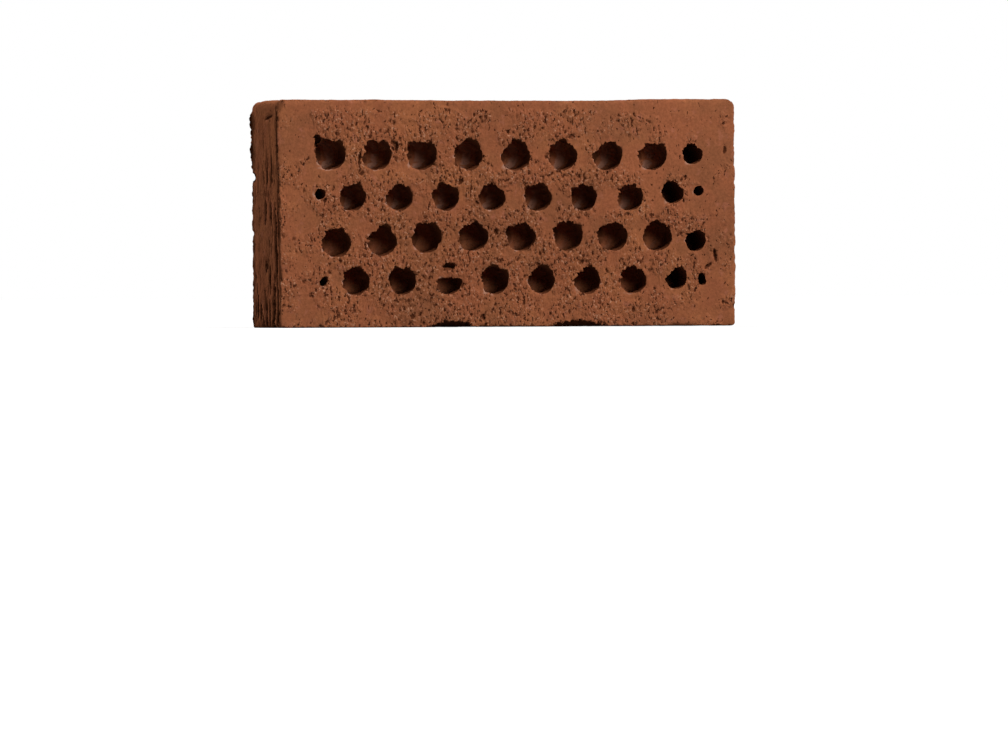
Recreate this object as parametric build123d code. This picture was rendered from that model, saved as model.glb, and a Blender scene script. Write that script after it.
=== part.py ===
from build123d import *
import math
import os

# A perforated facing brick of fired clay, extruded as a column and cut off with a wire.
# It stands on one long side, so that its perforations run level.
# X runs along its length, Y from one wire-cut bed face to the other, and Z is up.
# Sizes are in millimetres, and the origin is at the middle of the underside.

# Overall sizes of the fired brick
brick_length = 240.0
brick_width = 115.0
brick_height = 52.0

# Rounding of the four long edges, as the mouth of the die leaves them.
# The underside was the side that the soft column travelled on, so its edges are sharper.
upper_edge_radius = 4.0
lower_edge_radius = 2.0

# Solid clay between the perforations and the outside of the brick
left_wall = 20.8
right_wall = 16.0
lower_wall = 17.1
least_upper_wall = 15.0

# Spacing of the perforations, whose rows are staggered and step sideways a little
hole_pitch = 24.2
row_pitch = 21.1
row_lean = 0.8
thinnest_web = 4.0

# Long rows: full-size perforations from the left wall on, then one narrower one
long_row_diameter = 15.5
long_row_last_diameter = 10.9

# Short rows: a pinhole at each end, full-size perforations, and a narrower one last
short_row_diameter = 14.0
short_row_last_diameter = 11.4
pinhole_diameter = 5.5
left_pinhole_web = 6.3
right_pinhole_web = 5.2


def evenly_spaced(first, limit):
    """Centres from first on, one hole pitch apart, of which none passes limit."""
    count = 1 + math.floor((limit - first) / hole_pitch)
    return [first + hole_pitch * number for number in range(count)]


def long_row():
    """The distances from the left end and the diameters of a long row's holes."""
    first = left_wall + long_row_diameter / 2
    last = brick_length - right_wall - long_row_last_diameter / 2
    reach = long_row_diameter / 2 + thinnest_web + long_row_last_diameter / 2
    holes = [(at, long_row_diameter) for at in evenly_spaced(first, last - reach)]
    return holes + [(last, long_row_last_diameter)]


def short_row():
    """The distances from the left end and the diameters of a short row's holes."""
    pinhole_radius = pinhole_diameter / 2
    left_pinhole = left_wall + pinhole_radius
    right_pinhole = brick_length - right_wall - pinhole_radius
    first = left_pinhole + pinhole_radius + left_pinhole_web + short_row_diameter / 2
    last = right_pinhole - pinhole_radius - right_pinhole_web - short_row_last_diameter / 2
    reach = short_row_diameter / 2 + thinnest_web + short_row_last_diameter / 2
    holes = [(at, short_row_diameter) for at in evenly_spaced(first, last - reach)]
    ends = [(left_pinhole, pinhole_diameter), (right_pinhole, pinhole_diameter)]
    return holes + [(last, short_row_last_diameter)] + ends


# Rows are counted upwards from the underside, and the lowest is a short one
lowest_row_height = lower_wall + short_row_diameter / 2
highest_row_limit = brick_width - least_upper_wall - long_row_diameter / 2
row_count = 1 + math.floor((highest_row_limit - lowest_row_height) / row_pitch)
middle_row = (row_count - 1) / 2

with BuildPart() as brick:
    # The section of the clay column, seen along the perforations
    with BuildSketch(Plane.XZ) as column_section:
        Rectangle(brick_length, brick_width, align=(Align.CENTER, Align.MIN))
        fillet(column_section.vertices().group_by(Axis.Y)[-1], upper_edge_radius)
        fillet(column_section.vertices().group_by(Axis.Y)[0], lower_edge_radius)
        for row in range(row_count):
            height = lowest_row_height + row_pitch * row
            sideways = row_lean * (middle_row - row) - brick_length / 2
            row_holes = long_row() if row % 2 else short_row()
            for from_left_end, diameter in row_holes:
                with Locations((from_left_end + sideways, height)):
                    Circle(diameter / 2, mode=Mode.SUBTRACT)
    # The two wire cuts, one on each side of the middle
    extrude(amount=brick_height / 2, both=True)

os.makedirs("parts", exist_ok=True)
export_step(brick.part, "parts/brick.step")
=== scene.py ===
"""Looks of a perforated facing brick of fired clay.

The brick stands on one long side, so its perforations run level along Y.
X runs along its length and Z is up. Shapes are worked out in millimetres
as whole numpy arrays, and turned into metres when they become a mesh.
"""

import logging
import math
from dataclasses import dataclass, field, replace
from enum import Enum

import bpy
import numpy as np
from mathutils import Matrix, Vector


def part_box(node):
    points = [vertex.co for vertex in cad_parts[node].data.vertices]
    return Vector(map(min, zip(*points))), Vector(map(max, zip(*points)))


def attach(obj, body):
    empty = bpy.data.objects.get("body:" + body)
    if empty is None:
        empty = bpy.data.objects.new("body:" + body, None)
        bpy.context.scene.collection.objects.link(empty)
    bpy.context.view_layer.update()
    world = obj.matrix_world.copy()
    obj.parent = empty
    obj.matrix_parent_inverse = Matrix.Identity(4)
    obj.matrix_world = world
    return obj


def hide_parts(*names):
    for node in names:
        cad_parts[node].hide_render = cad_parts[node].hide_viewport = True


MM = 0.001
NODE = "brick"
BODY = "root"
WHITE = (1.0, 1.0, 1.0, 1.0)

Span = tuple[float, float]
Colour = tuple[float, float, float, float]
Socket = bpy.types.NodeSocket

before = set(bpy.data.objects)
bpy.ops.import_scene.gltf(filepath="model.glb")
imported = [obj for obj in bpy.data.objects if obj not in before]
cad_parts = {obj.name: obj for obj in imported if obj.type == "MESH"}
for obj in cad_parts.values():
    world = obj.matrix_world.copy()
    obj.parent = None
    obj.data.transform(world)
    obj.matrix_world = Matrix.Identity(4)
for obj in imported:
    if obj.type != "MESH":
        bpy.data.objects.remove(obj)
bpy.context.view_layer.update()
log = logging.getLogger("brick")


def smoothstep(low: float, high: float, value: np.ndarray) -> np.ndarray:
    """Ease from 0 to 1 as value goes from low to high.

    Args:
        low: Value at which the result leaves 0.
        high: Value at which the result reaches 1.
        value: Any array.

    Returns:
        3 t^2 - 2 t^3, where t is value's clipped share of the way.
    """
    share = np.clip((value - low) / (high - low), 0.0, 1.0)
    return share * share * (3.0 - 2.0 * share)


@dataclass
class ClayNoise:
    """Repeatable randomness of the clay: smooth noise and scattered marks."""

    seed: int
    lattice: int = 256
    gain: float = 1.6
    octave_strength: float = 0.55
    octave_width: float = 0.5
    octave_shift: float = 17.3
    octave_gain: float = 1.3
    strides: tuple[int, int, int] = (37, -11, 5)
    margin: float = 0.15
    least_strength: float = 0.5
    table: np.ndarray = field(init=False, repr=False)
    gradients: np.ndarray = field(init=False, repr=False)

    def __post_init__(self) -> None:
        """Shuffle the lattice and draw its unit gradients."""
        chance = np.random.default_rng(self.seed)
        order = chance.permutation(self.lattice)
        self.table = np.concatenate([order, order])
        spokes = chance.normal(size=(self.lattice, 3))
        self.gradients = spokes / np.linalg.norm(spokes, axis=1, keepdims=True)

    def _key(self, a: np.ndarray, b: np.ndarray, c: np.ndarray) -> np.ndarray:
        """Random number of a lattice cell.

        Args:
            a: First place of the cell.
            b: Second place.
            c: Third place.

        Returns:
            Whole numbers from 0 to one below the lattice's size.
        """
        mask = self.lattice - 1
        second = self.table[self.table[a & mask] + (b & mask)]
        return self.table[second + (c & mask)]

    def smooth(self, x: np.ndarray, y: np.ndarray, z: np.ndarray | float = 0.0) -> np.ndarray:
        """Gradient noise, about -1 to 1, on cells one unit wide.

        The value is each lattice corner's gradient times the offset from
        that corner, faded between corners by 6 t^5 - 15 t^4 + 10 t^3.

        Args:
            x: First coordinate, in cells.
            y: Second coordinate, in cells.
            z: Third coordinate, in cells.

        Returns:
            The noise at each point.
        """
        points = np.stack(np.broadcast_arrays(x, y, z), axis=-1).astype(float)
        base = np.floor(points).astype(np.int64)
        inside = points - base
        fade = inside**3 * (inside * (inside * 6.0 - 15.0) + 10.0)
        total = np.zeros(points.shape[:-1])
        for corner in np.ndindex(2, 2, 2):
            step = np.array(corner)
            key = self._key(*np.moveaxis(base + step, -1, 0))
            dot = np.einsum("...k,...k->...", self.gradients[key], inside - step)
            weight = np.prod(np.where(step == 1, fade, 1.0 - fade), axis=-1)
            total += weight * dot
        return total * self.gain

    def fractal(
        self,
        x: np.ndarray,
        y: np.ndarray,
        z: np.ndarray | float = 0.0,
        octaves: int = 3,
    ) -> np.ndarray:
        """Sum of octaves, each half as wide and 0.55 times as strong.

        Args:
            x: First coordinate, in cells of the widest octave.
            y: Second coordinate.
            z: Third coordinate.
            octaves: How many octaves are added.

        Returns:
            The summed noise, about -1 to 1.
        """
        total = np.zeros(np.broadcast_shapes(np.shape(x), np.shape(y), np.shape(z)))
        strength, width, whole = 1.0, 1.0, 0.0
        for octave in range(octaves):
            shift = self.octave_shift * octave
            total = total + strength * self.smooth(x / width + shift, y / width - shift, z / width)
            whole += strength
            strength *= self.octave_strength
            width *= self.octave_width
        return total / whole * self.octave_gain

    def _draws(self, column: np.ndarray, row: np.ndarray, layer: int) -> list[np.ndarray]:
        """Six random numbers for each cell of a lattice, from keys far apart.

        Args:
            column: Columns of the cells.
            row: Rows of the cells.
            layer: Slice of the lattice.

        Returns:
            The six numbers, 0 to 1.
        """
        right, up, over = self.strides
        keys = [self._key(column + right * n, row + up * n, layer + over * n) for n in range(6)]
        return [key / (self.lattice - 1) for key in keys]

    def marks(self, u: np.ndarray, v: np.ndarray, kind: "MarkKind") -> np.ndarray:
        """Scattered marks, one at most in each cell of a jittered lattice.

        A mark is an ellipse with a random place, tilt, size and strength.
        Its depth is strength times (1 - d^2) to the power of its softness,
        where d is the distance from its centre in radii, and d is made
        uneven by smooth noise. Where marks overlap, the deepest counts.

        Args:
            u: First coordinate, in millimetres.
            v: Second coordinate, in millimetres.
            kind: Sizes and likelihood of the marks.

        Returns:
            The depth at each point, from 0 up, in millimetres.
        """
        cell_u, cell_v = kind.cell
        iu = np.floor(u / cell_u).astype(np.int64)
        iv = np.floor(v / cell_v).astype(np.int64)
        torn = kind.torn * self.smooth(u / kind.torn_size, v / kind.torn_size, kind.layer + 0.5)
        room = 1.0 - 2.0 * self.margin
        deepest = np.zeros(np.shape(u))
        for du, dv in np.ndindex(3, 3):
            cu, cv = iu + du - 1, iv + dv - 1
            place_u, place_v, turn, size, chance, strength = self._draws(cu, cv, kind.layer)
            off_u = u - (cu + self.margin + room * place_u) * cell_u
            off_v = v - (cv + self.margin + room * place_v) * cell_v
            tilt = kind.tilt * (2.0 * turn - 1.0)
            along = off_u * np.cos(tilt) + off_v * np.sin(tilt)
            across = off_v * np.cos(tilt) - off_u * np.sin(tilt)
            scale = kind.smallest + (1.0 - kind.smallest) * size**2
            reach = np.hypot(along / (kind.radii[0] * scale), across / (kind.radii[1] * scale)) + torn
            shape = np.clip(1.0 - reach**2, 0.0, 1.0) ** kind.softness
            strength = self.least_strength + (1.0 - self.least_strength) * strength
            here = (chance < kind.share) * scale * strength
            deepest = np.maximum(deepest, kind.depth * here * shape)
        return deepest


@dataclass(frozen=True)
class MarkKind:
    """Sizes of one kind of scattered mark, in millimetres."""

    cell: tuple[float, float]
    radii: tuple[float, float]
    depth: float
    share: float
    layer: int
    tilt: float = 0.6
    smallest: float = 0.35
    softness: float = 0.6
    torn: float = 0.35
    torn_size: float = 0.7


@dataclass(frozen=True)
class Tear:
    """A single named pit, tear, crack or furrow, in millimetres."""

    x: float
    z: float
    half_width: float
    half_height: float
    depth: float
    tilt: float = 0.0
    unevenness: float = 0.3

    def depth_at(self, x: np.ndarray, z: np.ndarray, ragged: np.ndarray) -> np.ndarray:
        """Depth of this tear.

        Args:
            x: Places along the brick, or across it on an end.
            z: Heights.
            ragged: Noise that makes the outline uneven.

        Returns:
            depth times (1 - d^2)^0.5, with d counted in half sizes.
        """
        turn = math.radians(self.tilt)
        along = (x - self.x) * math.cos(turn) + (z - self.z) * math.sin(turn)
        across = (z - self.z) * math.cos(turn) - (x - self.x) * math.sin(turn)
        reach = np.hypot(along / self.half_width, across / self.half_height) + self.unevenness * ragged
        return self.depth * np.sqrt(np.clip(1.0 - reach**2, 0.0, 1.0))


class HoleKind(Enum):
    """The three kinds of perforation.

    The value is half the side of the square of grid that bends round such
    a hole, in millimetres.
    """

    FULL = 9.3
    NARROW = 7.6
    PINHOLE = 4.4


Place = tuple[float, float, HoleKind]


@dataclass(frozen=True)
class Perforation:
    """One perforation, by its centre in the front bed face, in millimetres."""

    x: float
    z: float
    radius: float
    kind: HoleKind
    row: int
    number: int

    @property
    def layer(self) -> float:
        """Place of this perforation's own slice of noise."""
        return 3.7 * self.row + 11.3 * self.number


@dataclass
class PerforationPattern:
    """Staggered rows of perforations, in millimetres, lowest row first.

    Rows, and the perforations in a row, are numbered from 0 upwards.
    """

    length: float = 240.0
    left_wall: float = 20.8
    right_wall: float = 16.0
    lowest_row: float = 24.1
    hole_pitch: float = 24.2
    row_pitch: float = 21.1
    row_lean: float = 0.8
    long_count: int = 8
    short_count: int = 7
    long_diameter: float = 15.5
    long_last_diameter: float = 10.9
    short_diameter: float = 14.0
    short_last_diameter: float = 11.4
    pinhole_diameter: float = 5.5
    left_web: float = 6.3
    right_web: float = 5.2
    core_sway: float = 0.7
    sway_every: float = 5.0
    shifted_row: int = 1
    row_shift: float = 0.9
    last_pull: float = 0.8
    row_lifts: tuple[float, ...] = (-2.0, -1.4, 0.0, 0.7, 0.7, 0.7, 0.7, 0.7, -1.9)
    row_sag: tuple[Span, ...] = ((0.9, 0.2), (0.0, 0.0), (0.5, 1.1), (0.3, 1.1))
    pinhole_shift: float = 0.9
    lifted_row: int = 2
    pinhole_lift: float = 1.4
    right_pinhole_lift: float = 2.0
    last_lifts: tuple[float, ...] = (0.7, 0.0, 2.4, 1.0)

    def _full_size(self, first: float, diameter: float, count: int) -> list[Place]:
        """Full-size perforations from first on, one pitch apart."""
        return [(first + self.hole_pitch * n, diameter, HoleKind.FULL) for n in range(count)]

    def long_row(self) -> list[Place]:
        """Perforations of a long row.

        Returns:
            Their distances from the left end, diameters and kinds.
        """
        first = self.left_wall + self.long_diameter / 2
        last = self.length - self.right_wall - self.long_last_diameter / 2
        holes = self._full_size(first, self.long_diameter, self.long_count)
        return holes + [(last, self.long_last_diameter, HoleKind.NARROW)]

    def short_row(self) -> list[Place]:
        """Perforations of a short row.

        Returns:
            Their distances from the left end, diameters and kinds.
        """
        pin = self.pinhole_diameter
        left_pin = self.left_wall + pin / 2
        right_pin = self.length - self.right_wall - pin / 2
        first = left_pin + pin / 2 + self.left_web + self.short_diameter / 2
        last = right_pin - pin / 2 - self.right_web - self.short_last_diameter / 2
        ends = [(left_pin, pin, HoleKind.PINHOLE), (right_pin, pin, HoleKind.PINHOLE)]
        holes = self._full_size(first, self.short_diameter, self.short_count)
        return holes + [(last, self.short_last_diameter, HoleKind.NARROW)] + ends

    def _off_place(self, hole: Perforation) -> Perforation:
        """Move a perforation a little off its place, as cores in a die are.

        The cores of the long rows sway sideways with their number. One row
        sits to the right, and its cores high or low by number. Pinholes on
        the left sit to the left, those of one row sit high, and so does
        the last, narrower core of most rows.

        Args:
            hole: The perforation at its regular place.

        Returns:
            The same perforation, moved.
        """
        x, z = hole.x, hole.z
        if hole.row % 2 == 1 and hole.kind is HoleKind.FULL:
            x += self.core_sway * math.cos(2 * math.pi * hole.number / self.sway_every)
        if hole.row == self.shifted_row:
            x += self.row_shift - self.last_pull * (hole.number == self.long_count)
            z += self.row_lifts[hole.number]
        if hole.kind is HoleKind.PINHOLE:
            x -= self.pinhole_shift * (x < 0.0)
            lift = self.pinhole_lift + self.right_pinhole_lift * (x > 0.0)
            z += lift * (hole.row == self.lifted_row)
        if hole.kind is HoleKind.NARROW:
            z += self.last_lifts[hole.row]
        return replace(hole, x=x, z=z)

    def holes(self, row_count: int = 4) -> list[Perforation]:
        """All perforations, with each row hung low by its sag.

        The sag goes evenly from its left value to its right one.

        Args:
            row_count: Number of rows.

        Returns:
            The perforations, row by row.
        """
        found = []
        for row in range(row_count):
            height = self.lowest_row + self.row_pitch * row
            sideways = self.row_lean * ((row_count - 1) / 2 - row) - self.length / 2
            left, right = self.row_sag[row]
            places = self.long_row() if row % 2 == 1 else self.short_row()
            for number, (at, diameter, kind) in enumerate(places):
                z = height - (left + (right - left) * at / self.length)
                hole = Perforation(at + sideways, z, diameter / 2, kind, row, number)
                found.append(self._off_place(hole))
        return found


class Side(Enum):
    """The two wire-cut bed faces, by the sign of Y that they face."""

    FRONT = -1
    BACK = 1


@dataclass
class Mouths:
    """How the cutting wire left the mouths of the perforations.

    The wire travelled downwards. It dragged crumbs into the upper half of
    each mouth and cut the lower half clean. Sizes are in millimetres, and
    those of a rim are for a hole of the usual radius.
    """

    noise: ClayNoise
    usual_radius: float = 7.5
    hole_lean: float = 1.9
    lean_fan: float = 0.009
    throat: float = 0.3
    groove: float = 0.1
    groove_width: float = 1.6
    groove_run: float = 30.0
    wander: float = 0.12
    wander_width: float = 5.0
    wander_run: float = 9.0
    side_slices: float = 50.0
    lobe: float = 0.6
    lobe_width: float = 6.0
    slump: float = 1.7
    slump_bias: float = 0.28
    slump_width: float = 7.0
    lip: float = 1.9
    notch: float = 2.5
    notch_width: float = 2.6
    quiet: float = 0.08
    cusp: float = 0.9
    cusp_width: float = 2.2
    cusp_ridge: float = 0.14
    tooth: float = 0.5
    tooth_width: float = 0.9
    torn_turn: float = 0.42
    torn_span: Span = (-0.3, 0.5)
    lower_torn: float = 0.26
    lower_teeth: float = 0.45
    notch_reach: float = 1.3
    lip_reach: float = 0.9
    reach_power: float = 1.3
    flap_at: tuple[int, int] = (0, 2)
    flap_reach: float = 0.72
    flap_span: Span = (0.0, 0.6)
    flap_teeth: float = 0.22
    flat_tops: tuple[tuple[int, int, float], ...] = ((3, 2, 0.84), (3, 6, 0.86), (3, 7, 0.8))
    flat_teeth: float = 0.1
    flat_end: float = 0.2
    slit_row: int = 0
    left_slit: tuple[float, ...] = (0.62, 0.34, 0.75, 2)
    right_slit: tuple[float, ...] = (0.64, 0.62, -0.1, 1.5)

    def centre(self, hole: Perforation, depth_share: float | np.ndarray) -> tuple[np.ndarray, float]:
        """Centre of a hole part of the way through.

        The cores lean by hole_lean from the front to the back, and fan out
        by a little more for each millimetre to the left.

        Args:
            hole: The perforation.
            depth_share: 0 at the front bed face and 1 at the back one.

        Returns:
            X and Z of the centre.
        """
        lean = self.hole_lean - self.lean_fan * hole.x
        return hole.x - lean * np.asarray(depth_share, float), hole.z

    def rim(self, hole: Perforation, angle: np.ndarray, side: Side) -> np.ndarray:
        """Radius of a mouth at each angle.

        The hole's radius, plus wide lobes and an upper half that slumps in
        or out, plus narrow notches, cusps and teeth and minus narrow lips,
        all of which are fainter in the lower half.

        Args:
            hole: The perforation.
            angle: Angles from +X towards +Z.
            side: Which bed face.

        Returns:
            The radius, in millimetres.
        """
        slice_at = hole.layer + self.side_slices * side.value
        ring_x, ring_z = hole.radius * np.cos(angle), hole.radius * np.sin(angle)
        lobes, slump, ridge, teeth = (
            self.noise.smooth(ring_x / width, ring_z / width, slice_at + shift)
            for width, shift in (
                (self.lobe_width, 0.0),
                (self.slump_width, 0.37),
                (self.cusp_width, 0.9),
                (self.tooth_width, 0.2),
            )
        )
        width = self.notch_width
        ragged = self.noise.fractal(ring_x / width, ring_z / width, slice_at + 0.5, octaves=3)
        upper = smoothstep(*self.torn_span, np.sin(angle - self.torn_turn))
        torn = self.notch * np.clip(ragged - self.quiet, 0.0, 1.0)
        torn = torn - self.lip * np.clip(-ragged - self.quiet, 0.0, 1.0)
        torn = torn + self.cusp * np.clip(1.0 - np.abs(ridge) / self.cusp_ridge, 0.0, 1.0) * upper
        torn = torn * (self.lower_torn + (1.0 - self.lower_torn) * upper)
        torn = torn + self.tooth * teeth * (self.lower_teeth + (1.0 - self.lower_teeth) * upper)
        wide = self.lobe * lobes + self.slump * (slump - self.slump_bias) * upper
        size = hole.radius / self.usual_radius
        radius = hole.radius + size * wide + size * torn
        return self._covered(hole, angle, side, radius, teeth)

    def _covered(
        self,
        hole: Perforation,
        angle: np.ndarray,
        side: Side,
        radius: np.ndarray,
        teeth: np.ndarray,
    ) -> np.ndarray:
        """Radius of a mouth with its flap, flat top or slit.

        A flap takes a share off the upper half. A flat top keeps the rim
        under a level line. A slit is least + more |sin(angle + turn)|^power
        of the radius.

        Args:
            hole: The perforation.
            angle: Angles from +X towards +Z.
            side: Which bed face.
            radius: The radius so far.
            teeth: Noise that makes the edges uneven.

        Returns:
            The radius left open, in millimetres.
        """
        at = (hole.row, hole.number)
        if at == self.flap_at and side is Side.FRONT:
            covered = smoothstep(*self.flap_span, np.sin(angle))
            radius = radius * (1.0 - self.flap_reach * covered * (1.0 + self.flap_teeth * teeth))
        for row, number, share in self.flat_tops:
            if at == (row, number) and side is Side.FRONT:
                level = share * hole.radius * (1.0 + self.flat_teeth * teeth)
                radius = np.minimum(radius, level / np.clip(np.sin(angle), self.flat_end, None))
        if hole.kind is HoleKind.PINHOLE and hole.row == self.slit_row:
            least, more, turn, power = self.right_slit if hole.x > 0.0 else self.left_slit
            radius = radius * (least + more * np.abs(np.sin(angle + turn)) ** power)
        return radius

    def wall(
        self,
        hole: Perforation,
        angle: np.ndarray,
        depth: np.ndarray,
        thickness: float,
    ) -> np.ndarray:
        """Radius of a hole's wall below its mouths.

        The wall follows the hole's radius with faint grooves along it.
        Each mouth's own shape dies away downwards by the exponential of
        minus (depth / reach)^1.3, where a notch reaches deeper than a lip
        is thick.

        Args:
            hole: The perforation.
            angle: Angles, one for each column.
            depth: Depths below the front bed face, one for each row.
            thickness: Distance between the bed faces.

        Returns:
            Radii as an array of columns by rows.
        """
        turn, down = np.meshgrid(angle, depth, indexing="ij")
        ring_x, ring_z = np.cos(turn) * hole.radius, np.sin(turn) * hole.radius
        width, run = self.groove_width, self.groove_run
        grooves = self.noise.smooth(ring_x / width, ring_z / width, hole.layer + down / run)
        width, run = self.wander_width, self.wander_run
        wander = self.noise.smooth(ring_x / width, down / run, hole.layer + ring_z / width)
        plain = hole.radius - self.throat * hole.radius / self.usual_radius + self.groove * grooves
        plain = plain + self.wander * wander
        for side, gap in ((Side.FRONT, down), (Side.BACK, thickness - down)):
            extra = self.rim(hole, turn, side) - plain
            reach = np.where(extra > 0.0, self.notch_reach, self.lip_reach)
            plain = plain + extra * np.exp(-((gap / reach) ** self.reach_power))
        return plain


@dataclass
class BedRelief:
    """Relief of a wire-cut bed face, outwards positive, in millimetres."""

    noise: ClayNoise
    wave: float = 0.22
    wave_width: float = 34.0
    drag: float = 0.13
    drag_size: Span = (1.1, 9.0)
    fine: float = 0.09
    fine_size: Span = (1.3, 2.4)
    crumb: float = 0.3
    back_shift: float = 400.0
    pit_shade: float = 0.8
    pits: tuple[MarkKind, ...] = (
        MarkKind((1.9, 2.4), (0.55, 0.85), 0.6, 0.8, 3, smallest=0.6, torn=0.5),
        MarkKind((3.6, 4.4), (0.8, 1.35), 0.95, 0.7, 9, smallest=0.5, torn=0.55),
        MarkKind((9.0, 10.0), (1.3, 1.9), 1.3, 0.5, 14, tilt=0.9, smallest=0.5, torn=0.6),
    )
    pits_from: tuple[float, ...] = (0.15, 0.2, 0.3)
    pits_rise: float = 0.25
    ticks: MarkKind = MarkKind(
        (2.8, 6.0), (0.38, 2.2), 0.5, 0.6, 21, tilt=0.14, softness=0.8, smallest=0.5
    )
    ticks_least: float = 0.25
    crumbs: MarkKind = MarkKind((1.7, 1.9), (0.62, 0.66), 1.0, 0.8, 28, softness=1.0, smallest=0.5)
    tear_width: float = 1.4
    front_tears: tuple[Tear, ...] = (
        Tear(-97.7, 90.8, 2.4, 6.6, 4.6, tilt=17.0),
        Tear(-77.2, 85.0, 0.6, 3.6, 1.2, tilt=-10.0),
        Tear(-58.0, 90.5, 1.0, 2.6, 1.5, tilt=-6.0),
        Tear(-31.0, 30.4, 2.9, 1.8, 3.4, tilt=6.0),
        Tear(109.4, 35.6, 0.9, 3.8, 1.4, tilt=8.0),
        Tear(105.6, 30.4, 2.2, 1.0, 1.3, tilt=38.0),
        Tear(114.6, 89.0, 0.9, 2.4, 0.8, tilt=-8.0),
        Tear(-29.0, -0.6, 11.0, 3.9, 5.0),
        Tear(36.8, -0.9, 13.0, 3.9, 4.0),
    )
    patch_level: float = 0.46
    patch_swing: float = 0.86
    patch_width: float = 14.0
    band_rise: float = 0.45
    band_height: float = 1.25
    low_rise: float = 0.16
    low_part: Span = (70.0, 20.0)
    edge_drop: float = 0.35
    edge_part: Span = (107.0, 112.0)
    corner_drop: float = 0.24
    corner_right: Span = (20.0, 110.0)
    corner_top: Span = (60.0, 100.0)
    right_drop: float = 0.13
    right_part: Span = (10.0, 70.0)
    ends_drop: float = 0.15
    ends_part: Span = (94.0, 106.0)

    def roughness(
        self,
        x: np.ndarray,
        z: np.ndarray,
        holes: list[Perforation],
        layer: float,
    ) -> np.ndarray:
        """Share of torn clay, from 0, smooth, to 1, torn.

        Wide noise, raised in a band over each hole's upper rim, where the
        wire dragged the clay, and low on the face. It is lowered close to
        the upper edge, in the upper right corner, on the right, and close
        to both ends.

        Args:
            x: Places along the brick.
            z: Heights.
            holes: All perforations.
            layer: Slice of the noise.

        Returns:
            The share at each point.
        """
        width = self.patch_width
        patches = self.noise.fractal(x / width, z / width, layer, octaves=3)
        patches = self.patch_level + self.patch_swing * patches
        for hole in holes:
            over = (z - hole.z) / hole.radius
            beside = np.abs(x - hole.x) / hole.radius
            band = np.exp(-((over - self.band_height) ** 2) * 5.0 - beside**2 * 0.9)
            patches = patches + self.band_rise * band
        patches = patches + self.low_rise * smoothstep(*self.low_part, z)
        patches = patches - self.edge_drop * smoothstep(*self.edge_part, z)
        corner = self.corner_drop * smoothstep(*self.corner_right, x)
        patches = patches - corner * smoothstep(*self.corner_top, z)
        patches = patches - self.right_drop * smoothstep(*self.right_part, x)
        patches = patches - self.ends_drop * smoothstep(*self.ends_part, np.abs(x))
        return np.clip(patches, 0.0, 1.0)

    def heights(
        self,
        x: np.ndarray,
        z: np.ndarray,
        holes: list[Perforation],
        side: Side,
    ) -> tuple[np.ndarray, ...]:
        """Relief, darkness and roughness of one bed face.

        A wide wave, drag marks, fine noise and crumbs stand up, and pits,
        ticks and single tears are cut in. All but the wave and the tears
        are stronger where the clay is torn.

        Args:
            x: Places along the brick.
            z: Heights.
            holes: All perforations.
            side: Which bed face.

        Returns:
            The outward height, how deep in a pit each point lies, 0 to 1,
            which is painted as shade, and the share of torn clay, 0 to 1.
        """
        layer = 7.0 * side.value
        shifted = x + self.back_shift * (side is Side.BACK)
        rough = self.roughness(x, z, holes, layer)
        pit = np.zeros(np.shape(x))
        for kind, least in zip(self.pits, self.pits_from):
            likely = smoothstep(least, least + self.pits_rise, rough)
            pit = np.maximum(pit, likely * self.noise.marks(shifted, z, kind))
        ticks = self.ticks_least + (1.0 - self.ticks_least) * rough
        pit = np.maximum(pit, ticks * self.noise.marks(shifted, z, self.ticks))
        if side is Side.FRONT:
            width = self.tear_width
            ragged = self.noise.fractal(x / width, z / width, 3.3, octaves=2)
            for tear in self.front_tears:
                pit = np.maximum(pit, tear.depth_at(x, z, ragged))
        width = self.wave_width
        wave = self.wave * self.noise.fractal(x / width, z / width, layer + 2.0, octaves=2)
        wide, tall = self.fine_size
        fine = self.noise.smooth(shifted / wide, z / tall, layer + 4.0)
        wide, tall = self.drag_size
        drag = self.drag * self.noise.smooth(shifted / wide, z / tall, layer + 6.0)
        lumps = self.crumb * rough * self.noise.marks(shifted, z, self.crumbs)
        height = wave + drag * (0.4 + 0.6 * rough) + self.fine * fine * (0.3 + rough) + lumps - pit
        # How deep in a pit each point lies is painted as shade in the clay's colour.
        return height, np.clip(pit / self.pit_shade, 0.0, 1.0), rough


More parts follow.
